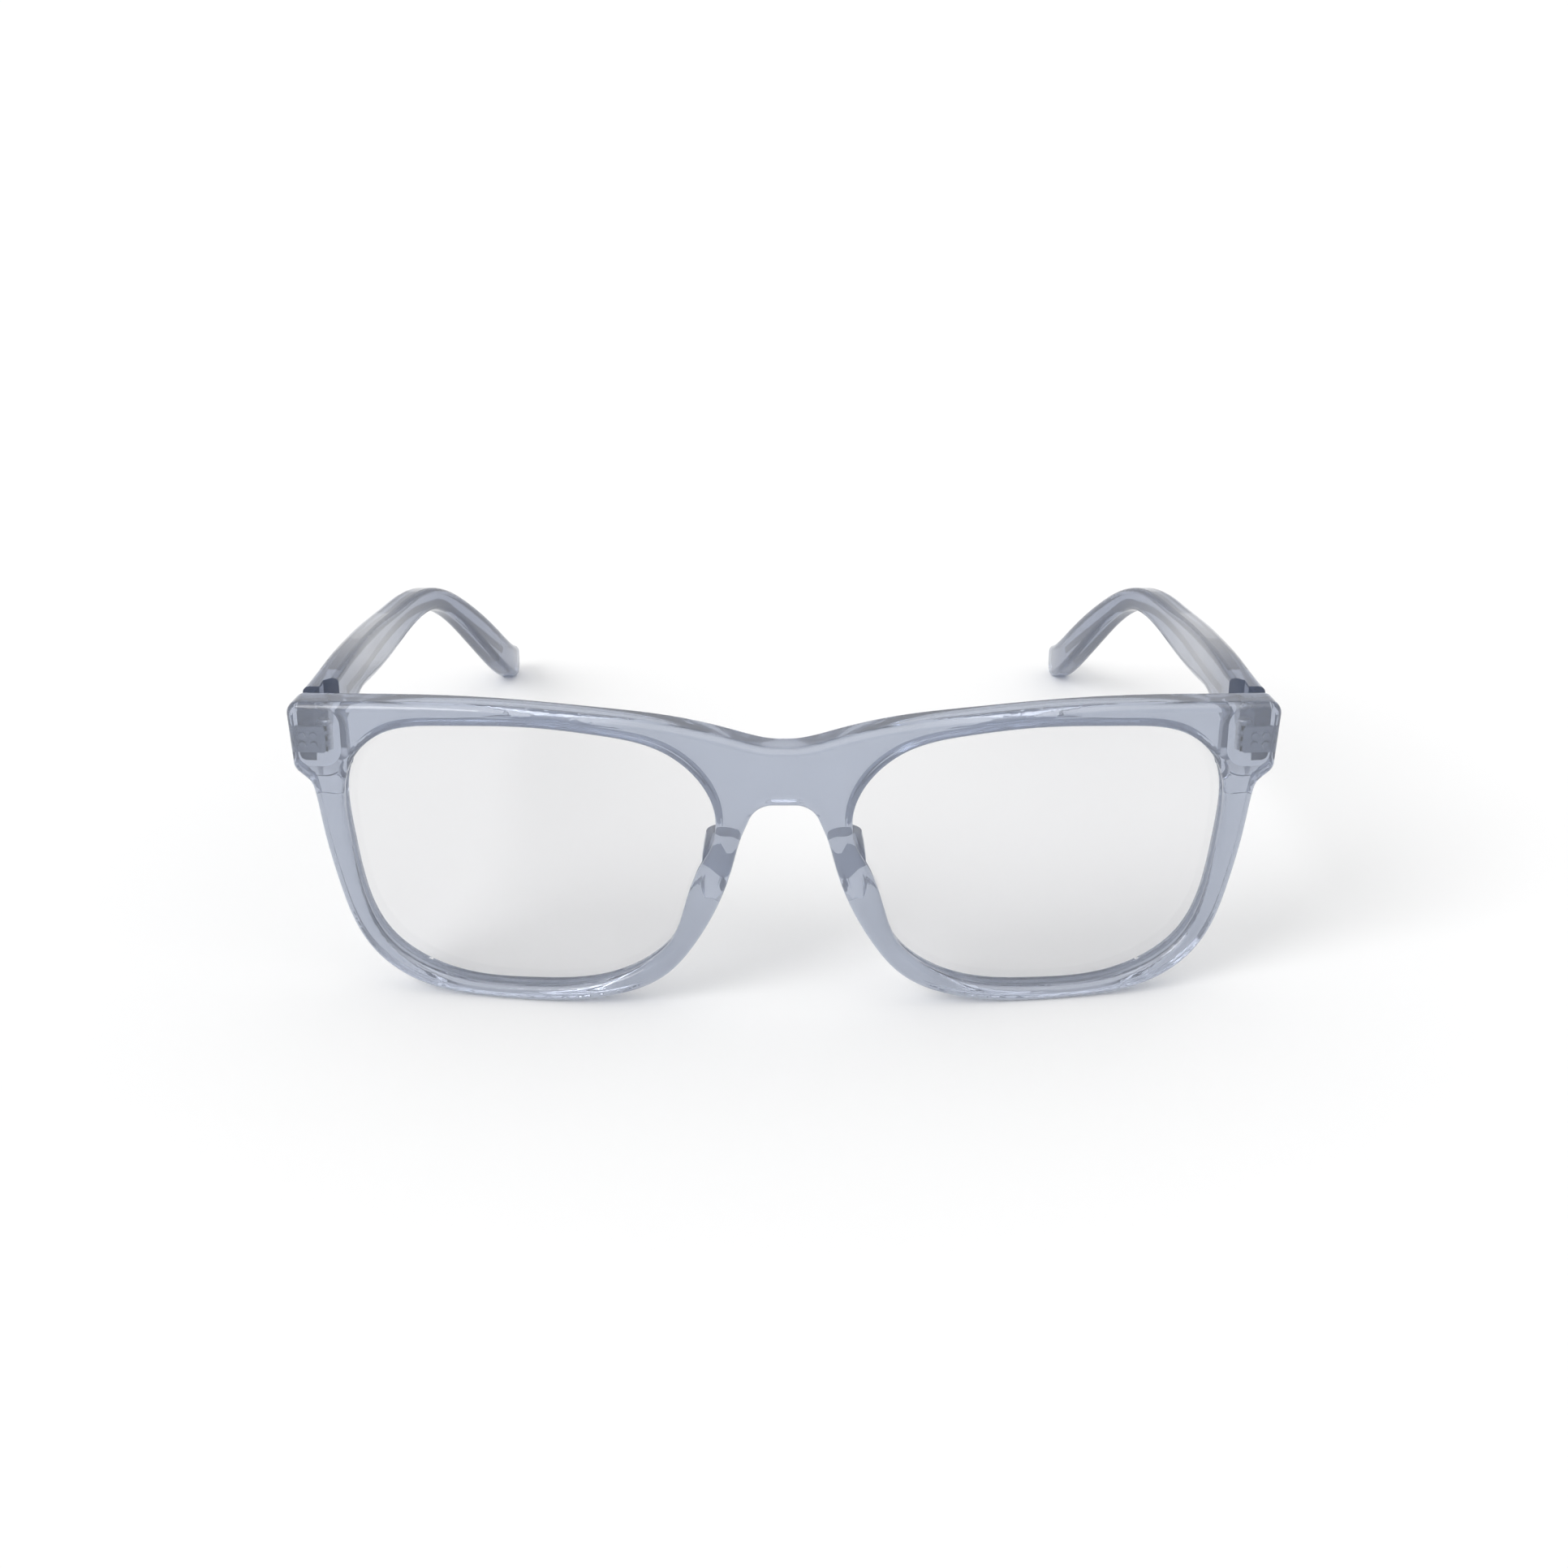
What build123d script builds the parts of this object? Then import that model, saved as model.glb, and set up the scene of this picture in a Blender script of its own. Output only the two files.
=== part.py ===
from build123d import *
import os
from math import asin, cos, sin, sqrt

# Eyeglasses with a clear acetate frame and plano filter lenses, open on a table.
# While it is built, x = 0 is the middle of the bridge, y = 0 the front of the bridge,
# z = 0 the table; the front faces -Y and the temples run towards +Y.
# One side (+X, the wearer's left) is built and the other is its mirror image.

# ---- front, millimetres
lens_width = 53.7            # lens opening, nose side to temple side
lens_height = 41.0           # lens opening, bottom to top
bridge_width = 20.8          # between the two lens openings
front_thickness = 4.8
face_form_radius = 285.0     # horizontal bend of the front
rim_bottom = 2.35            # rim under the lens
rim_side = 3.75              # rim beside the lens, temple side
rim_top = 2.9                # rim above the lens, at its highest
bridge_dip = 5.05            # bridge's upper edge, below the brow line
bridge_height = 8.9          # bridge's upper edge to the nose arch
bridge_flat = 1.0            # level stretch of the bridge's upper edge, from the middle
arch_half_width = 4.1        # where the flanks of the nose arch would meet its top
arch_round = 3.6
end_piece_reach = 7.95       # lens opening to the outer edge of the end piece
end_piece_drop = 1.28        # end piece's upper edge, below the brow line
end_piece_height = 10.5
end_piece_run = 3.5          # end of the brow to the outer edge
end_piece_fall = 0.25        # of the upper edge over that run
end_piece_draft = 0.6        # outer edge, inwards at its lower end
underside_run = 2.0          # sloping underside of the end piece, inwards
underside_fall = 1.5         # and downwards
flank_run = 1.85             # straight flank of the nose arch, outwards
flank_fall = 4.4             # and downwards
end_piece_top_round = 2.0
end_piece_bottom_round = 1.8
front_edge_round = 1.25      # rounding of the edges that face forwards
back_edge_round = 0.6        # rounding of the edges that face the wearer
opening_front_round = 1.0    # rounding of the lens opening's front edge
opening_back_round = 0.45    # and of its back edge

# ---- lenses
lens_thickness = 1.9
lens_radius = 131.0          # front curve of the lens
lens_bite = 0.7              # how far the lens reaches into its groove
lens_clearance = 0.05        # between the lens and its groove
lens_edge_bevel = 0.7
groove_ledge = 0.15          # flat side of the groove beside the opening, before its bevel

# ---- nose pads, bonded behind the rims
pad_below_arch = 5.8         # flat upper end, below the nose arch
pad_length = 9.8             # from the upper end down
pad_half_width = 1.5
pad_past_arch = 4.65         # middle of the upper end, outwards from the arch's corner
pad_depth = 3.5              # how far a pad stands out behind the front
pad_splay = 0.2              # outwards for each millimetre down
pad_root = 1.0               # start of a pad's section, inside the front's back face

# ---- end blocks, bonded behind the end pieces
block_thickness = 1.25       # at the outer edge
block_width = 9.5            # from the outer edge inwards
block_corner = 4.0           # rounding of the inner corners
block_step = 1.0             # upper side, below the end piece's upper edge
block_overhang = 2.0         # lower side, below the end piece's lower edge
skirt_length = 2.5           # thin skirt under the block, downwards
skirt_thickness = 0.6
skirt_corner = 2.0           # rounding of its inner lower corner
block_bevel = 1.1            # round the face that meets the temple
block_to_opening = 0.5       # clear of the lens opening's edge

# ---- hinges
pin_inset = 3.85             # pin axis, inwards from the temple's outer face
pin_behind_seam = 1.6        # pin axis, back from the seam
hinge_below_top = 7.05       # middle of the hinge, below the end piece's upper edge
knuckle_radius = 1.2
knuckle_height = 0.8
knuckle_count = 5            # three on the front leaf, two on the temple leaf
knuckle_gap = 0.04           # play between two knuckles
screw_radius = 0.6
screw_clearance = 0.03       # running clearance round the screw
screw_head_radius = 1.0
screw_head_height = 0.5
screw_slot_width = 0.3
screw_slot_depth = 0.25
screw_head_bevel = 0.12
screw_end = 0.3              # below the lowest knuckle
front_plate_height = 4.0
temple_plate_height = 3.4
plate_thickness = 0.9
plate_corner = 0.5
front_plate_width = 4.6      # plate of the front leaf, across
front_plate_outset = 2.2     # middle of that plate, outwards from the pin
front_stud_outset = 2.5      # middle of its four studs, outwards from the pin
temple_plate_length = 7.0    # plate of the temple leaf, front to back
temple_plate_start = 3.4     # front of that plate, back from the pin
plate_overlap = 1.0          # how far a knuckle's web runs into the temple leaf plate
web_thickness = 0.9          # between a knuckle and its plate
stud_radius = 0.5            # anchor studs sunk into the acetate
stud_length = 0.9
stud_pitch = 1.7             # between the front leaf's two columns of studs
stud_rise = 1.4              # and between its two rows
temple_stud_inset = 1.6      # studs of the temple leaf, from the ends of its plate
sunk_clearance = 0.02        # between sunk metal and the acetate round it

# ---- temples
temple_length = 129.1        # seam to the rearmost point of the tip
temple_inset = 2.2           # outer face, inwards from the end piece's outer edge
temple_thickness = 4.0
temple_edge_round = 1.0
bend_inward = 3.2            # outer face at the ear bend, inwards from its front end
ear_drop_reach = 45.4        # last part of the length, behind the ear bend
ear_drop_inward = 9.0        # how far the tip comes inwards of the ear bend
tip_radius = 3.1             # round of the tip, from the side
tip_flat = 0.4               # flat end of the tip between its corners, from above
tip_slant = 0.35             # fall of the tip, radians
butt_gap = 0.05              # between the temple's end and the end block
hinge_relief_gap = 0.2       # between the knuckles and the temple's relief
hinge_relief_slope = 2.2     # length of the relief's slanted rear wall
hinge_relief_lip = 0.4       # the slant ends this far inside the temple's inner face
wire_radius = 0.65
wire_clearance = 0.03        # between the core wire and the acetate
wire_start_gap = 0.3         # behind the temple leaf plate
wire_bends = [150, 90, 20]   # bend radii of the wire, front to back

# ---- worked out from the sizes above
lens_centre_x = bridge_width / 2 + lens_width / 2
lens_centre_z = rim_bottom + lens_height / 2
front_half_width = bridge_width / 2 + lens_width + end_piece_reach
brow_top = rim_bottom + lens_height + rim_top
bridge_top = brow_top - bridge_dip
arch_top = bridge_top - bridge_height
end_piece_top = brow_top - end_piece_drop
end_piece_bottom = end_piece_top - end_piece_height
back_radius = face_form_radius - front_thickness
tip_corner = (temple_thickness - tip_flat) / 2
half_tilt = asin(lens_centre_x / face_form_radius)
forwards = Vector(sin(half_tilt), -cos(half_tilt), 0)     # straight out of one lens
outwards = Vector(cos(half_tilt), sin(half_tilt), 0)      # along the front, away from the nose
end_x = front_half_width * cos(half_tilt) - end_piece_draft
end_back = face_form_radius - sqrt(back_radius**2 - end_x**2)
seam_y = end_back + block_thickness
temple_outset = front_half_width - temple_inset
temple_inner = temple_outset - temple_thickness
arm_length = temple_length - ear_drop_reach
ear_bend_y = seam_y + arm_length
pin_x = temple_outset - pin_inset
pin_y = seam_y + pin_behind_seam
hinge_mid = end_piece_top - hinge_below_top
knuckle_stack = knuckle_count * knuckle_height
knuckle_bottom = hinge_mid - knuckle_stack / 2

# Reach of cutting tools, well past the body that they cut.
past = 2.0
ahead = 8.0
through = 40.0
tall = 120.0
wide = 200.0

# Lens opening as shares of its half width (positive towards the temple) and half height.
lens_shape = [
    (-0.955, 0.03), (-0.980, 0.545), (-0.752, 0.848), (-0.420, 0.960), (-0.010, 0.999),
    (0.405, 0.976), (0.763, 0.883), (0.957, 0.624), (0.979, 0.033), (0.799, -0.710),
    (0.430, -0.966), (-0.010, -0.994), (-0.428, -0.916), (-0.773, -0.592),
]

# Brow from the bridge outwards: x as a share of the lens centre's, height as a share of
# the rise from the bridge to the brow line.
brow_shape = [(0.215, 0.287), (0.46, 0.673), (0.71, 0.851), (1.13, 1.0), (1.53, 0.911)]

# Lower outer edge of the rim, temple side to nose side, as shares of the rim's
# half width and half height about the middle of the lens.
rim_shape = [
    (0.995, 0.124), (0.936, -0.257), (0.797, -0.703), (0.561, -0.925), (0.240, -0.992),
    (-0.080, -0.996), (-0.404, -0.935), (-0.645, -0.785), (-0.803, -0.531), (-0.962, -0.060),
]

# Side view of a temple. Along the arm, y is a share of the arm's length; behind the
# ear bend, it is a share of the ear drop. z is a share of the end piece's height.
arm_upper = [(0.18, 0.978), (0.37, 0.925), (0.55, 0.864), (0.75, 0.800), (0.90, 0.765)]
drop_upper = [(0.0, 0.722), (0.148, 0.658), (0.289, 0.572), (0.46, 0.4525), (0.639, 0.32), (0.811, 0.203)]
drop_lower = [(0.744, 0.088), (0.564, 0.2185), (0.39, 0.364), (0.231, 0.497), (0.11, 0.578)]
arm_lower = [(0.995, 0.631), (0.93, 0.653), (0.83, 0.661), (0.69, 0.670), (0.53, 0.706), (0.35, 0.770)]
arm_lower_front = [(0.235, 0.800), (0.12, 0.775)]
arm_upper_slope = -0.06      # dz/dy at the seam
arm_lower_slope = 0.1

# Outer face of a temple from above: millimetres inwards along the arm, then shares of
# ear_drop_inward behind the ear bend, each with its share of the length.
arm_plan = [(0.0, 0.0), (0.15, 0.45), (0.7, 0.78)]
drop_plan = [(0.37, 0.25), (0.80, 0.60)]

# Core wire: millimetres inwards, share of the length and share of the height.
wire_start_height = 0.885
wire_arm = [(0.2, 0.54, 0.790), (1.4, 0.86, 0.716)]
wire_drop = [(4.0, 0.08, 0.642), (10.4, 0.70, 0.205)]


def towards(start, end):
    """Unit direction from one flat point to another."""
    return (Vector(*end) - Vector(*start)).normalized()


def block(x_range, y_range, z_range):
    """Box between three pairs of limits."""
    ranges = (x_range, y_range, z_range)
    size = [high - low for low, high in ranges]
    middle = [(low + high) / 2 for low, high in ranges]
    return Pos(*middle) * Box(*size)


def one_solid(body):
    """Largest solid of a result."""
    return body.solids().sort_by(SortBy.VOLUME)[-1]


def mirrored(body):
    return mirror(body, Plane.YZ)


def round_corner(face, point, radius):
    """Round the corner of a flat face that is nearest to a point."""
    return fillet(face.vertices().sort_by_distance((*point, 0))[:1], radius)


# ------------------------------------------------------------------ front

def lens_face(grow=0.0):
    """Flat outline of the lens opening, grown by a small distance all round."""
    half_width = lens_width / 2 + grow
    half_height = lens_height / 2 + grow
    points = [(lens_centre_x + u * half_width, lens_centre_z + v * half_height) for u, v in lens_shape]
    return make_face(Spline(points, periodic=True))


def front_face():
    """Flat outline of one half of the front, without the lens opening."""
    rim_half_width = lens_width / 2 + rim_side
    rim = [(lens_centre_x + u * rim_half_width, lens_centre_z * (1 + v)) for u, v in rim_shape]
    brow_end = (front_half_width - end_piece_run, end_piece_top)
    outer_top = (front_half_width, end_piece_top - end_piece_fall)
    outer_bottom = (front_half_width - end_piece_draft, end_piece_bottom)
    underside = (outer_bottom[0] - underside_run, end_piece_bottom - underside_fall)
    rim_start = (underside[0] - 0.5 * underside_run, end_piece_bottom - 2.5 * underside_fall)
    arch_corner = (arch_half_width, arch_top)
    nose_flank = (arch_half_width + flank_run, arch_top - flank_fall)
    brow = Spline(
        (bridge_flat, bridge_top),
        *[(u * lens_centre_x, bridge_top + v * bridge_dip) for u, v in brow_shape],
        brow_end,
        tangents=[(1, 0), towards(brow_end, outer_top)],
        tangent_scalars=[1, 1],
    )
    rim_edge = Spline(
        underside,
        rim_start,
        *rim,
        nose_flank,
        tangents=[towards(outer_bottom, underside), towards(nose_flank, arch_corner)],
        tangent_scalars=[1, 1],
    )
    face = make_face([
        Line((-past, bridge_top), (bridge_flat, bridge_top)),
        brow,
        Line(brow_end, outer_top),
        Line(outer_top, outer_bottom),
        Line(outer_bottom, underside),
        rim_edge,
        Line(nose_flank, arch_corner),
        Line(arch_corner, (-past, arch_top)),
        Line((-past, arch_top), (-past, bridge_top)),
    ])
    face = round_corner(face, outer_top, end_piece_top_round)
    face = round_corner(face, outer_bottom, end_piece_bottom_round)
    return round_corner(face, arch_corner, arch_round)


def from_front(face):
    """Solid through the front from an outline, square to one lens."""
    plane = Plane(origin=forwards * ahead, x_dir=outwards, z_dir=forwards)
    return extrude(plane * face, amount=through, dir=-forwards)


def drum(radius):
    """Upright cylinder about the face-form axis."""
    return Pos(0, face_form_radius, lens_centre_z) * Cylinder(radius, tall)


def bent_face(body, radius):
    """The bent face of the front with this radius."""
    bent = body.faces().filter_by(GeomType.CYLINDER)
    return bent.filter_by(lambda face: abs(face.radius - radius) < 0.001)[0]


def outer_edges(body, radius):
    """Outline of a bent face."""
    return bent_face(body, radius).outer_wire().edges()


def opening_edges(body, radius):
    """Edges of the lens openings on a bent face."""
    return [edge for wire in bent_face(body, radius).inner_wires() for edge in wire.edges()]


def lens_ball_centre():
    """Centre of the lens's front curve, with the lens's vertex on the front face."""
    vertex_y = face_form_radius * (1 - cos(half_tilt))
    return Vector(lens_centre_x, vertex_y, lens_centre_z) - forwards * lens_radius


def lens_blank(grow, thicken):
    """Meniscus cut to the lens outline, grown sideways and thickened on both faces."""
    centre = Pos(lens_ball_centre())
    meniscus = centre * Sphere(lens_radius + thicken) - centre * Sphere(lens_radius - lens_thickness - thicken)
    return one_solid(from_front(lens_face(grow)) & meniscus)


def bevelled(blank, bevel):
    """Blank with both edges of its rim chamfered, which leaves a ridge that points outwards."""
    rims = [face.outer_wire().edges() for face in blank.faces().filter_by(GeomType.SPHERE)]
    return one_solid(chamfer([edge for edges in rims for edge in edges], bevel))


def lens():
    """Filter lens with a bevelled edge that sits in the rim's groove."""
    return bevelled(lens_blank(lens_bite, 0), lens_edge_bevel)


def front_frame():
    """Acetate front: both rims, the bridge and the end pieces."""
    half = from_front(front_face()) & drum(face_form_radius) - drum(back_radius)
    half = one_solid(half & block((0, wide), (-wide, wide), (-wide, wide)))
    body = one_solid(half + mirrored(half))
    body = body.fillet(front_edge_round, outer_edges(body, face_form_radius))
    body = body.fillet(back_edge_round, outer_edges(body, back_radius))
    opening = from_front(lens_face())
    body = one_solid(body - opening - mirrored(opening))
    body = body.fillet(opening_front_round, opening_edges(body, face_form_radius))
    body = body.fillet(opening_back_round, opening_edges(body, back_radius))
    groove_depth = lens_bite + lens_clearance
    groove = bevelled(lens_blank(groove_depth, lens_clearance), groove_depth - groove_ledge)
    seat = front_plate(sunk_clearance)
    return one_solid(body - groove - mirrored(groove) - seat - mirrored(seat))


def nose_pad_section(down, depth, half_width):
    """Half-oval section of a pad, some way below its upper end."""
    z = arch_top - pad_below_arch - down
    x = arch_half_width + pad_past_arch + pad_splay * down
    plane = Plane(origin=(x, 0, z), x_dir=(1, 0, 0), z_dir=(0, 0, 1))
    base = front_thickness - pad_root
    arc = ThreePointArc((half_width, base), (0, front_thickness + depth), (-half_width, base))
    return plane * make_face([arc, Line((-half_width, base), (half_width, base))])


def nose_pad():
    """Pad bonded behind the nose side of a rim, flat on top and fading out below."""
    sections = [
        nose_pad_section(0, pad_depth, pad_half_width),
        nose_pad_section(pad_length * 0.5, pad_depth * 0.85, pad_half_width * 0.9),
        nose_pad_section(pad_length, pad_depth * 0.15, pad_half_width * 0.6),
    ]
    return one_solid(loft(sections) & drum(back_radius))


def end_block():
    """Bonded block that thickens the end piece back to the seam."""
    inner = front_half_width - block_width
    outer = inner + 2 * block_width
    foot = end_piece_bottom - block_overhang
    window = block((inner, outer), (0, seam_y), (foot, end_piece_top - block_step))
    window = fillet(window.edges().filter_by(Axis.Y).group_by(Axis.X)[0], block_corner)
    window = chamfer(window.faces().sort_by(Axis.Y)[-1].outer_wire().edges(), block_bevel)
    skirt = block((inner, outer), (0, wide), (foot - skirt_length, foot + block_corner))
    skirt = fillet(skirt.edges().filter_by(Axis.Y).group_by(Axis.X)[0].group_by(Axis.Z)[0], skirt_corner)
    skirt -= drum(back_radius - skirt_thickness)
    body = from_front(front_face()) & drum(back_radius) & (window + skirt)
    return one_solid(body - from_front(lens_face(block_to_opening)) - front_plate(sunk_clearance))


# ------------------------------------------------------------------ hinge

def knuckle(level, plate_y):
    """One barrel of the hinge, with the web that joins it to its plate."""
    low = knuckle_bottom + level * knuckle_height + knuckle_gap / 2
    high = low + knuckle_height - knuckle_gap
    barrel = Pos(pin_x, pin_y, (low + high) / 2) * Cylinder(knuckle_radius, high - low)
    half_web = web_thickness / 2
    return barrel + block((pin_x - half_web, pin_x + half_web), sorted((pin_y, plate_y)), (low, high))


def screw_bore():
    radius = screw_radius + screw_clearance
    return Pos(pin_x, pin_y, hinge_mid) * Cylinder(radius, 2 * knuckle_stack)


def front_plate(clearance=0.0):
    """Plate of the front leaf with four studs that reach forwards into the acetate."""
    middle_x = pin_x + front_plate_outset
    half_width = front_plate_width / 2 + clearance
    half_height = front_plate_height / 2 + clearance
    front = seam_y - plate_thickness - clearance
    plate = block(
        (middle_x - half_width, middle_x + half_width),
        (front, seam_y),
        (hinge_mid - half_height, hinge_mid + half_height),
    )
    plate = fillet(plate.edges().filter_by(Axis.Y), plate_corner)
    stud = Rot(90, 0, 0) * Cylinder(stud_radius + clearance, stud_length)
    stud_x = pin_x + front_stud_outset
    for x in (stud_x - stud_pitch / 2, stud_x + stud_pitch / 2):
        for z in (hinge_mid - stud_rise / 2, hinge_mid + stud_rise / 2):
            plate += Pos(x, front - stud_length / 2, z) * stud
    return plate


def front_hinge_leaf():
    leaf = front_plate()
    for level in range(0, knuckle_count, 2):
        leaf += knuckle(level, seam_y)
    return one_solid(leaf - screw_bore())


def temple_plate(clearance=0.0):
    """Plate of the temple leaf, flush with the temple's inner face, with two studs."""
    start = pin_y + temple_plate_start
    end = start + temple_plate_length
    back = temple_inner + plate_thickness + clearance
    half_height = temple_plate_height / 2 + clearance
    plate = block(
        (temple_inner, back),
        (start - clearance, end + clearance),
        (hinge_mid - half_height, hinge_mid + half_height),
    )
    stud = Rot(0, 90, 0) * Cylinder(stud_radius + clearance, stud_length)
    for y in (start + temple_stud_inset, end - temple_stud_inset):
        plate += Pos(back + stud_length / 2, y, hinge_mid) * stud
    return plate


def temple_hinge_leaf():
    leaf = temple_plate()
    for level in range(1, knuckle_count, 2):
        leaf += knuckle(level, pin_y + temple_plate_start + plate_overlap)
    return one_solid(leaf - screw_bore())


def temple_leaf_seat():
    """Room for the temple leaf in the temple, with its clearance."""
    seat = temple_plate(sunk_clearance)
    half_web = web_thickness / 2 + sunk_clearance
    rear = pin_y + temple_plate_start + plate_overlap + sunk_clearance
    for level in range(1, knuckle_count, 2):
        low = knuckle_bottom + level * knuckle_height - sunk_clearance
        high = low + knuckle_height + 2 * sunk_clearance
        seat += block((pin_x - half_web, pin_x + half_web), (pin_y, rear), (low, high))
    return seat


def hinge_screw():
    """Cheese-head screw through all the knuckles, slotted across its head."""
    top = knuckle_bottom + knuckle_stack
    length = knuckle_stack + screw_end
    shank = Pos(pin_x, pin_y, top - length / 2) * Cylinder(screw_radius, length)
    head = Pos(pin_x, pin_y, top + screw_head_height / 2) * Cylinder(screw_head_radius, screw_head_height)
    head = chamfer(head.edges().sort_by(Axis.Z)[-1], screw_head_bevel)
    slot = Pos(pin_x, pin_y, top + screw_head_height) * Box(4 * screw_head_radius, screw_slot_width, 2 * screw_slot_depth)
    return one_solid(shank + head - slot)


# ------------------------------------------------------------------ temple

def arm_points(shares):
    return [(seam_y + y * arm_length, z * end_piece_top) for y, z in shares]


def drop_points(shares):
    return [(ear_bend_y + y * ear_drop_reach, z * end_piece_top) for y, z in shares]


def temple_side_face():
    """Side view of a temple: y across, z up. The round of the tip rests on the table."""
    front = seam_y + butt_gap
    tip_y = ear_bend_y + ear_drop_reach - tip_radius
    upper_front = (front, end_piece_top)
    lower_front = (front, end_piece_bottom)
    across = (tip_radius * sin(tip_slant), tip_radius * cos(tip_slant))
    upper_tip = (tip_y + across[0], tip_radius + across[1])
    lower_tip = (tip_y - across[0], tip_radius - across[1])
    tip_end = (tip_y + across[1], tip_radius - across[0])
    upper = Spline(
        upper_front, *arm_points(arm_upper), *drop_points(drop_upper), upper_tip,
        tangents=[(1, arm_upper_slope), (cos(tip_slant), -sin(tip_slant))], tangent_scalars=[1, 1],
    )
    lower = Spline(
        lower_tip, *drop_points(drop_lower), *arm_points(arm_lower + arm_lower_front), lower_front,
        tangents=[(-cos(tip_slant), sin(tip_slant)), (-1, -arm_lower_slope)], tangent_scalars=[1, 1],
    )
    return make_face([upper, ThreePointArc(upper_tip, tip_end, lower_tip), lower, Line(lower_front, upper_front)])


def temple_plan_face():
    """Temple from above: straight along the arm, then inwards behind the ear bend."""
    tip_end = ear_bend_y + ear_drop_reach + 0.1 * tip_radius

    def edge(face_x):
        arm = [(face_x - inward, seam_y + y * arm_length) for inward, y in arm_plan]
        drop = [
            (face_x - bend_inward - u * ear_drop_inward, ear_bend_y + y * ear_drop_reach)
            for u, y in drop_plan
        ]
        return [
            *arm,
            (face_x - bend_inward, ear_bend_y - bend_inward / 2),
            *drop,
            (face_x - bend_inward - ear_drop_inward, tip_end),
        ]

    outer = edge(temple_outset)
    inner = edge(temple_inner)
    face = make_face([
        Spline(*outer), Line(outer[-1], inner[-1]), Spline(*inner[::-1]), Line(inner[0], outer[0]),
    ])
    face = round_corner(face, outer[-1], tip_corner)
    return round_corner(face, inner[-1], tip_corner)


def hinge_relief():
    """Cut over the whole height of the temple's inner side, where the knuckles turn."""
    depth_x = pin_x + knuckle_radius + hinge_relief_gap
    rear_y = pin_y + knuckle_radius + hinge_relief_gap
    corners = [
        (temple_inner - past, seam_y - past),
        (depth_x, seam_y - past),
        (depth_x, rear_y),
        (temple_inner - hinge_relief_lip, rear_y + hinge_relief_slope),
        (temple_inner - past, rear_y + hinge_relief_slope),
    ]
    return extrude(make_face(Polyline(*corners, close=True)), amount=tall)


def wire_bar(radius, lengthen=0.0):
    """Round bar along the core wire's route, from behind the hinge plate to the tip."""
    middle_x = temple_outset - temple_thickness / 2
    start = pin_y + temple_plate_start + temple_plate_length + wire_start_gap - lengthen
    route = [(middle_x, start, wire_start_height * end_piece_top)]
    for inward, y, z in wire_arm:
        route.append((middle_x - inward, seam_y + y * arm_length, z * end_piece_top))
    for inward, y, z in wire_drop:
        route.append((middle_x - inward, ear_bend_y + y * ear_drop_reach, z * end_piece_top))
    path = FilletPolyline(*route, radius=wire_bends)
    section = Plane(origin=path @ 0, z_dir=path % 0) * Circle(radius)
    return one_solid(sweep(section, path))


def temple():
    """Acetate temple with the relief for the hinge and the channel for its core wire."""
    side = extrude(Plane.YZ * temple_side_face(), amount=wide)
    plan = extrude(temple_plan_face(), amount=tall)
    body = one_solid(side & plan)
    long_edges = [edge for edge in body.edges() if edge.length > arm_length / 3]
    body = body.fillet(temple_edge_round, long_edges)
    channel = wire_bar(wire_radius + wire_clearance, wire_clearance)
    return one_solid(body - hinge_relief() - temple_leaf_seat() - channel)


# ------------------------------------------------------------------ assembly

front = front_frame()
one_side = {
    "lens": lens(),
    "nose_pad": nose_pad(),
    "end_block": end_block(),
    "front_hinge_leaf": front_hinge_leaf(),
    "hinge_screw": hinge_screw(),
    "temple_hinge_leaf": temple_hinge_leaf(),
    "temple": temple(),
    "core_wire": wire_bar(wire_radius),
}
nodes = {"front_frame": front}
for name, body in one_side.items():
    nodes[f"left_{name}"] = body
    nodes[f"right_{name}"] = mirrored(body)

# The finished model stands on z = 0 with the middle of its box over the origin.
box = Compound(list(nodes.values())).bounding_box()
shift = Vector(0, -(box.min.Y + box.max.Y) / 2, -box.min.Z)
os.makedirs("parts", exist_ok=True)
for name, body in nodes.items():
    export_step(Pos(shift) * body, f"parts/{name}.step")
print("size", box.size.X, box.size.Y, box.size.Z)
print("hinge pins x", pin_x, "y", pin_y + shift.Y, "z", hinge_mid + shift.Z)
print("shift", shift)
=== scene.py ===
import math
import bmesh
import bpy
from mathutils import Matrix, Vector
from mathutils.bvhtree import BVHTree
from mathutils.geometry import barycentric_transform

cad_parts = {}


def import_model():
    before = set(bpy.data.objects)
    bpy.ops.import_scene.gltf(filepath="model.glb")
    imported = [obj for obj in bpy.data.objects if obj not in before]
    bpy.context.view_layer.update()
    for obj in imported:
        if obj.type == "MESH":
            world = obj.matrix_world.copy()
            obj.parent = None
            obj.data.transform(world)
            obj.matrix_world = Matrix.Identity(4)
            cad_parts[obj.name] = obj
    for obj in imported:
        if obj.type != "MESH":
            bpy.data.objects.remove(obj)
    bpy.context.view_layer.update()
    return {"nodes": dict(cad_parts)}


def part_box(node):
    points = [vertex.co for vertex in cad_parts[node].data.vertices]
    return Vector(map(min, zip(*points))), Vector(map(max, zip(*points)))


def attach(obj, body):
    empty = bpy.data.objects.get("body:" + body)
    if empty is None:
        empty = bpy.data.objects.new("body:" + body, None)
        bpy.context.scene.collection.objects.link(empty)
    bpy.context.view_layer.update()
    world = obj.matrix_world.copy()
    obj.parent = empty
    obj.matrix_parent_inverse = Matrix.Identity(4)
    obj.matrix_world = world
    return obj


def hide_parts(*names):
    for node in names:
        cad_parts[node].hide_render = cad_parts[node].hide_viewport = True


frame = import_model()
scene = bpy.context.scene

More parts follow.
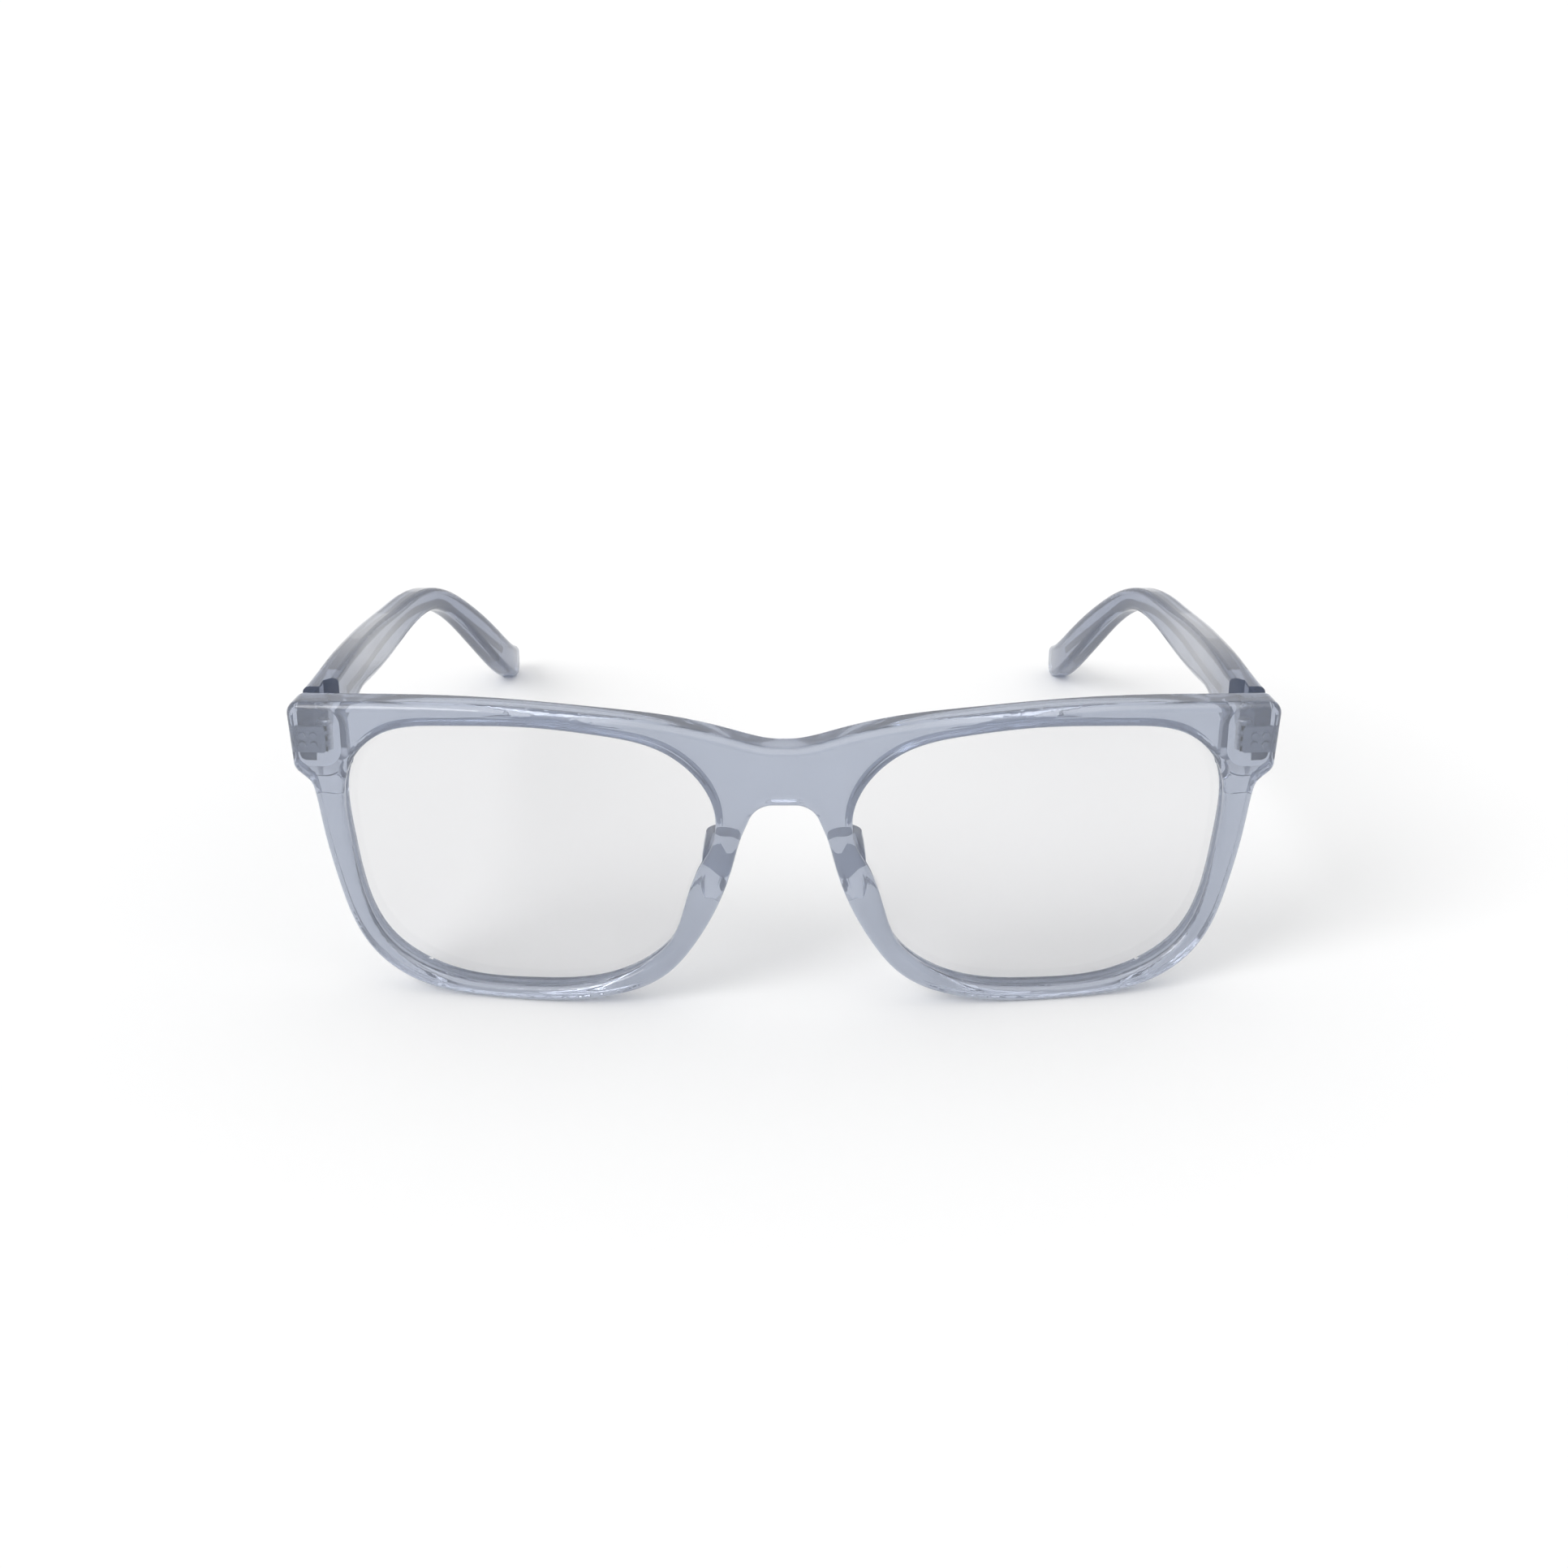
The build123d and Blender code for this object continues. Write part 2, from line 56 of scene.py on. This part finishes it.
# ---- named values: lengths in metres unless the name says mm, angles in radians
MM = 0.001
sides = ("left", "right")
acetate_ior = 1.49
front_tint = (0.50, 0.54, 0.625)              # of light that goes in and out again
# the temples' acetate colour, made darker than the front's: painted shade for the shade that falls on their
# inner faces
temple_tint_with_painted_shade = (0.32, 0.36, 0.46)
front_clearness = 0.80                        # the rest of the light is scattered under the skin
temple_clearness = 0.74
hinge_colour = (0.78, 0.77, 0.75)
hinge_roughness = 0.30
wire_colour = (0.74, 0.73, 0.72)
wire_roughness = 0.32
tint_drift = 0.03                             # share by which the tint varies over the stock
acetate_absorption = (12.0, 11.0, 8.0)        # per metre, red, green, blue
acetate_roughness = 0.045
acetate_wave = 0.0025 * MM                    # relief that polishing leaves
noise_span = (0.3, 0.7)                       # the noise is nearly always between these
lens_ior = 1.50
lens_absorption = (72.0, 72.0, 69.0)
lens_wave = 0.0004 * MM
lens_haze = 0.006                             # roughness where wiping hazed it most
brushing = (1.0, 0.04, 1.0)                   # metal is brushed, and wire is drawn, along y
acetate_wave_scale = 180                      # noise scales are per metre
lens_wave_scale = 90
brush_scale = 9000
brush_detail = 4.0
brush_depth = 0.0012 * MM
brush_spread = 0.09                           # roughness between the finest and the coarsest lines
bond_depth = 0.3 * MM                         # bonded pieces reach this far into the front
bonded_within = 0.03 * MM                     # a point this near the front lies in the bond
seam_width = 0.0001 * MM                      # double points along the CAD seams are this near
source_within = 0.002 * MM                    # a cut face this near a source face came from it
joint_reach = 0.25 * MM                       # widest play between a seat and what it holds
opposed = -0.6                                # dot product of the normals of two faces that meet
joint_ior = 1.0005                            # where two pieces touch, light goes almost straight on
camera_height = 0.1637
camera_distance = 0.300                       # in front of the bridge
camera_pitch = math.radians(23.05)
camera_lens_mm = 53.295
camera_sensor_mm = 36
key_from = Vector((-43.0, -39.0, 45.0)).normalized()
key_angle = math.radians(30)
key_share = 0.21                              # of the light that reaches the floor
surround = 0.83                               # strength of the studio's white surround
softbox_from = Vector((0.0, -0.45, 0.9)).normalized()
softbox_boost = 2.8                           # seen in reflections, over the surround
softbox_edges = (math.cos(math.radians(50)), math.cos(math.radians(20)))
floor_white = 0.99
floor_side = 12.0
light_bounces = 64                            # light runs far along clear stock
clear_bounces = 32


# ---- shader helpers
def new_material(name):
    """Empty node material with an output."""
    material = bpy.data.materials.new(name)
    material.use_nodes = True
    tree = material.node_tree
    tree.nodes.clear()
    return material, tree, tree.nodes.new("ShaderNodeOutputMaterial")


def principled(tree, output, **sockets):
    """Principled shader with these socket values, linked to the output."""
    shader = tree.nodes.new("ShaderNodeBsdfPrincipled")
    for name, value in sockets.items():
        shader.inputs[name.replace("_", " ")].default_value = value
    tree.links.new(shader.outputs[0], output.inputs["Surface"])
    return shader


def absorb(tree, output, taken):
    """Volume absorption that takes this much per metre from red, green and blue."""
    volume = tree.nodes.new("ShaderNodeVolumeAbsorption")
    density = 10 * max(taken)                 # keeps the colour's channels close to 1
    volume.inputs["Color"].default_value = (*[1 - t / density for t in taken], 1)
    volume.inputs["Density"].default_value = density
    tree.links.new(volume.outputs[0], output.inputs["Volume"])


def noise_bump(tree, shader, scale, height, detail=2.0, stretch=(1, 1, 1)):
    """Fine relief on the shader's surface: noise of this scale per metre and this height in metres."""
    place = tree.nodes.new("ShaderNodeTexCoord")
    mapping = tree.nodes.new("ShaderNodeMapping")
    noise = tree.nodes.new("ShaderNodeTexNoise")
    bump = tree.nodes.new("ShaderNodeBump")
    mapping.inputs["Scale"].default_value = stretch
    noise.inputs["Scale"].default_value = scale
    noise.inputs["Detail"].default_value = detail
    bump.inputs["Distance"].default_value = height
    tree.links.new(place.outputs["Object"], mapping.inputs["Vector"])
    tree.links.new(mapping.outputs[0], noise.inputs["Vector"])
    tree.links.new(noise.outputs["Fac"], bump.inputs["Height"])
    tree.links.new(bump.outputs[0], shader.inputs["Normal"])
    return noise


def vary(tree, noise, socket, low, high):
    """Drives a socket between two values by the noise."""
    spread = tree.nodes.new("ShaderNodeMapRange")
    spread.inputs["From Min"].default_value, spread.inputs["From Max"].default_value = noise_span
    spread.inputs["To Min"].default_value = low
    spread.inputs["To Max"].default_value = high
    tree.links.new(noise.outputs["Fac"], spread.inputs["Value"])
    tree.links.new(spread.outputs[0], socket)


def drift(tree, noise, shader, colour):
    """Lets the base colour drift a little round this one by the noise."""
    blend = tree.nodes.new("ShaderNodeMix")
    blend.data_type = "RGBA"
    blend.inputs["A"].default_value = (*[c * (1 - tint_drift) for c in colour], 1)
    blend.inputs["B"].default_value = (*[c * (1 + tint_drift) for c in colour], 1)
    tree.links.new(noise.outputs["Fac"], blend.inputs["Factor"])
    tree.links.new(blend.outputs["Result"], shader.inputs["Base Color"])


def bend_less_at_joints(tree, shader, ior):
    """Faces marked as a joint let light go almost straight on, because no air gap shows there."""
    mark = tree.nodes.new("ShaderNodeAttribute")
    blend = tree.nodes.new("ShaderNodeMapRange")
    mark.attribute_name = "joint"
    blend.inputs["To Min"].default_value = ior
    blend.inputs["To Max"].default_value = joint_ior
    tree.links.new(mark.outputs["Fac"], blend.inputs["Value"])
    tree.links.new(blend.outputs[0], shader.inputs["IOR"])


def acetate(name, tint, clearness):
    """Tumble-polished clear acetate: a glossy skin with the slow waves that polishing leaves."""
    material, tree, output = new_material(name)
    shader = principled(tree, output, Base_Color=(*tint, 1), Roughness=acetate_roughness,
                        IOR=acetate_ior, Transmission_Weight=clearness)
    bend_less_at_joints(tree, shader, acetate_ior)
    noise = noise_bump(tree, shader, acetate_wave_scale, acetate_wave)
    drift(tree, noise, shader, tint)
    absorb(tree, output, acetate_absorption)
    return material


def lens_glass():
    """Clear lens with the slow waves of its mould and a trace of wiping haze."""
    material, tree, output = new_material("lens")
    shader = principled(tree, output, Base_Color=(1, 1, 1, 1), Roughness=0.0, IOR=lens_ior,
                        Transmission_Weight=1.0)
    bend_less_at_joints(tree, shader, lens_ior)
    noise = noise_bump(tree, shader, lens_wave_scale, lens_wave)
    vary(tree, noise, shader.inputs["Roughness"], 0, lens_haze)
    absorb(tree, output, lens_absorption)
    return material


def metal(name, colour, roughness):
    """Satin metal with fine lines along y and a colour that drifts a little."""
    material, tree, output = new_material(name)
    shader = principled(tree, output, Base_Color=(*colour, 1), Roughness=roughness, Metallic=1.0)
    noise = noise_bump(tree, shader, brush_scale, brush_depth, brush_detail, brushing)
    half = brush_spread / 2
    vary(tree, noise, shader.inputs["Roughness"], roughness - half, roughness + half)
    drift(tree, noise, shader, colour)
    return material


# ---- clear pieces: copies of the CAD meshes, with the faces marked that touch another piece
def tree_of(*meshes):
    """Nearest-point search over all faces of these meshes."""
    points = []
    faces = []
    for mesh in meshes:
        start = len(points)
        points += [v.co.copy() for v in mesh.vertices]
        faces += [[start + i for i in face.vertices] for face in mesh.polygons]
    return BVHTree.FromPolygons(points, faces)


def cad_mesh(node):
    return frame["nodes"][node].data


def mark_joints(mesh, partners):
    """Faces that lie tight on a partner's face are marked with 1 in the attribute that the shaders read."""
    nearest = tree_of(*[cad_mesh(node) for node in partners])
    mark = mesh.attributes.new("joint", "FLOAT", "FACE")
    for face in mesh.polygons:
        face.material_index = 0
        point, normal, _, _ = nearest.find_nearest(face.center, joint_reach)
        if point and normal.dot(face.normal) < opposed:
            mark.data[face.index].value = 1


def clear_piece(name, mesh, body, replaced, material, partners):
    """Piece of clear stock that stands for these CAD nodes."""
    mesh.materials.clear()
    mesh.materials.append(material)
    mark_joints(mesh, partners)
    piece = bpy.data.objects.new(name, mesh)
    scene.collection.objects.link(piece)
    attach(piece, body)
    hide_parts(*replaced)
    return piece


def joined(mesh):
    """Copy of a CAD mesh with the double points along its seams made one."""
    copy = mesh.copy()
    work = bmesh.new()
    work.from_mesh(copy)
    bmesh.ops.remove_doubles(work, verts=work.verts, dist=seam_width)
    work.to_mesh(copy)
    work.free()
    return copy


def sunk_into(mesh, host):
    """Moves the points that lie on the host's surface into the host by the bond's depth."""
    for vertex in mesh.vertices:
        point, normal, _, _ = host.find_nearest(vertex.co, bonded_within)
        if point:
            vertex.co -= normal * bond_depth


def united(base, parts):
    """One closed mesh round the base mesh and all the parts."""
    piece = bpy.data.objects.new("base", base)
    scene.collection.objects.link(piece)
    tools = []
    for part in parts:
        tool = bpy.data.objects.new("tool", part)
        scene.collection.objects.link(tool)
        tools.append(tool)
        cut = piece.modifiers.new("bond", "BOOLEAN")
        cut.operation = "UNION"
        cut.solver = "MANIFOLD"
        cut.object = tool
    shape = piece.evaluated_get(bpy.context.evaluated_depsgraph_get())
    mesh = bpy.data.meshes.new_from_object(shape)
    for used in (piece, *tools):
        bpy.data.objects.remove(used)
    return mesh


def take_normals(mesh, sources):
    """Corner normals for a mesh cut from the sources' faces, interpolated on the face each came from."""
    places = []
    normals = []
    for source in sources:
        corner_normals = source.corner_normals
        for face in source.polygons:
            loops = list(face.loop_indices)
            places.append([source.vertices[source.loops[i].vertex_index].co.copy() for i in loops])
            normals.append([corner_normals[i].vector.copy() for i in loops])
    points = [p for face in places for p in face]
    faces = []
    start = 0
    for face in places:
        faces.append(list(range(start, start + len(face))))
        start += len(face)
    nearest = BVHTree.FromPolygons(points, faces)
    result = [None] * len(mesh.loops)
    for face in mesh.polygons:
        _, _, index, distance = nearest.find_nearest(face.center)
        for loop in face.loop_indices:
            corner = mesh.vertices[mesh.loops[loop].vertex_index].co
            normal = barycentric_transform(corner, *places[index][:3], *normals[index][:3])
            result[loop] = normal.normalized() if distance < source_within else face.normal
    mesh.shade_smooth()
    mesh.normals_split_custom_set(result)


def bonded_front():
    """Front, end blocks and nose pads as the one piece that bonding makes of them."""
    parts = [f"{side}_{part}" for side in sides for part in ("end_block", "nose_pad")]
    front = joined(cad_mesh("front_frame"))
    host = tree_of(front)
    tools = []
    for node in parts:
        tool = joined(cad_mesh(node))
        sunk_into(tool, host)
        tools.append(tool)
    mesh = united(front, tools)
    take_normals(mesh, [cad_mesh(node) for node in ["front_frame", *parts]])
    return clear_piece("bonded_front", mesh, "front_body", ["front_frame", *parts],
                       front_acetate,
                       [f"{side}_{part}" for side in sides for part in ("lens", "front_hinge_leaf")])


def clear_copy(node, body, material, partners):
    return clear_piece(f"clear_{node}", cad_mesh(node).copy(), body, [node], material, partners)


def assign(node, material):
    mesh = cad_mesh(node)
    mesh.materials.clear()
    mesh.materials.append(material)


front_acetate = acetate("front_acetate", front_tint, front_clearness)
# the temples get a darker copy of the front acetate: painted shade, not a different stock
temple_acetate_with_painted_shade = acetate("temple_acetate_with_painted_shade", temple_tint_with_painted_shade, temple_clearness)
clear_lens = lens_glass()
hinge_metal = metal("hinge_metal", hinge_colour, hinge_roughness)
wire_metal = metal("wire_metal", wire_colour, wire_roughness)
bonded_front()
for side in sides:
    clear_copy(f"{side}_lens", "front_body", clear_lens, ["front_frame"])
    clear_copy(f"{side}_temple", f"{side}_temple_body", temple_acetate_with_painted_shade,
               [f"{side}_temple_hinge_leaf", f"{side}_core_wire"])
    for part in ("front_hinge_leaf", "temple_hinge_leaf", "hinge_screw"):
        assign(f"{side}_{part}", hinge_metal)
    assign(f"{side}_core_wire", wire_metal)


# ---- stage, light and camera
def floor():
    bpy.ops.mesh.primitive_plane_add(size=floor_side)
    plane = bpy.context.object
    plane.name = "floor"
    material, tree, output = new_material("floor")
    diffuse = tree.nodes.new("ShaderNodeBsdfDiffuse")
    diffuse.inputs["Color"].default_value = (floor_white, floor_white, floor_white, 1)
    tree.links.new(diffuse.outputs[0], output.inputs["Surface"])
    plane.data.materials.append(material)


def world():
    """White surround with a softbox that only reflections show, and a backdrop seen as pure white."""
    studio = bpy.data.worlds.new("studio")
    scene.world = studio
    studio.use_nodes = True
    tree = studio.node_tree
    tree.nodes.clear()
    output = tree.nodes.new("ShaderNodeOutputWorld")
    background = tree.nodes.new("ShaderNodeBackground")
    background.inputs["Color"].default_value = (1, 1, 1, 1)
    place = tree.nodes.new("ShaderNodeTexCoord")
    towards = tree.nodes.new("ShaderNodeVectorMath")
    towards.operation = "DOT_PRODUCT"
    towards.inputs[1].default_value = softbox_from
    softbox = tree.nodes.new("ShaderNodeMapRange")
    softbox.interpolation_type = "SMOOTHSTEP"
    softbox.inputs["From Min"].default_value, softbox.inputs["From Max"].default_value = softbox_edges
    softbox.inputs["To Max"].default_value = softbox_boost * surround
    mirrored = tree.nodes.new("ShaderNodeMath")
    mirrored.operation = "MULTIPLY_ADD"
    mirrored.inputs[2].default_value = surround
    backdrop = tree.nodes.new("ShaderNodeMath")
    backdrop.operation = "MULTIPLY_ADD"
    backdrop.inputs[1].default_value = 1 - surround
    path = tree.nodes.new("ShaderNodeLightPath")
    tree.links.new(place.outputs["Generated"], towards.inputs[0])
    tree.links.new(towards.outputs["Value"], softbox.inputs["Value"])
    tree.links.new(softbox.outputs[0], mirrored.inputs[0])
    tree.links.new(path.outputs["Is Glossy Ray"], mirrored.inputs[1])
    tree.links.new(path.outputs["Is Camera Ray"], backdrop.inputs[0])
    tree.links.new(mirrored.outputs[0], backdrop.inputs[2])
    tree.links.new(backdrop.outputs[0], background.inputs["Strength"])
    tree.links.new(background.outputs[0], output.inputs["Surface"])


def key_light():
    light = bpy.data.lights.new("key", "SUN")
    light.angle = key_angle
    light.energy = key_share * math.pi / key_from.z
    lamp = bpy.data.objects.new("key", light)
    scene.collection.objects.link(lamp)
    lamp.rotation_euler = (-key_from).to_track_quat("-Z", "Y").to_euler()


def camera():
    data = bpy.data.cameras.new("camera")
    data.lens = camera_lens_mm
    data.sensor_width = camera_sensor_mm
    body = bpy.data.objects.new("camera", data)
    scene.collection.objects.link(body)
    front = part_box("front_frame")[0].y
    body.location = (0, front - camera_distance, camera_height)
    body.rotation_euler = (math.pi / 2 - camera_pitch, 0, 0)
    scene.camera = body


floor()
world()
key_light()
camera()
scene.view_settings.view_transform = "Standard"
scene.cycles.max_bounces = light_bounces
scene.cycles.transmission_bounces = light_bounces
scene.cycles.glossy_bounces = light_bounces
scene.cycles.transparent_max_bounces = clear_bounces
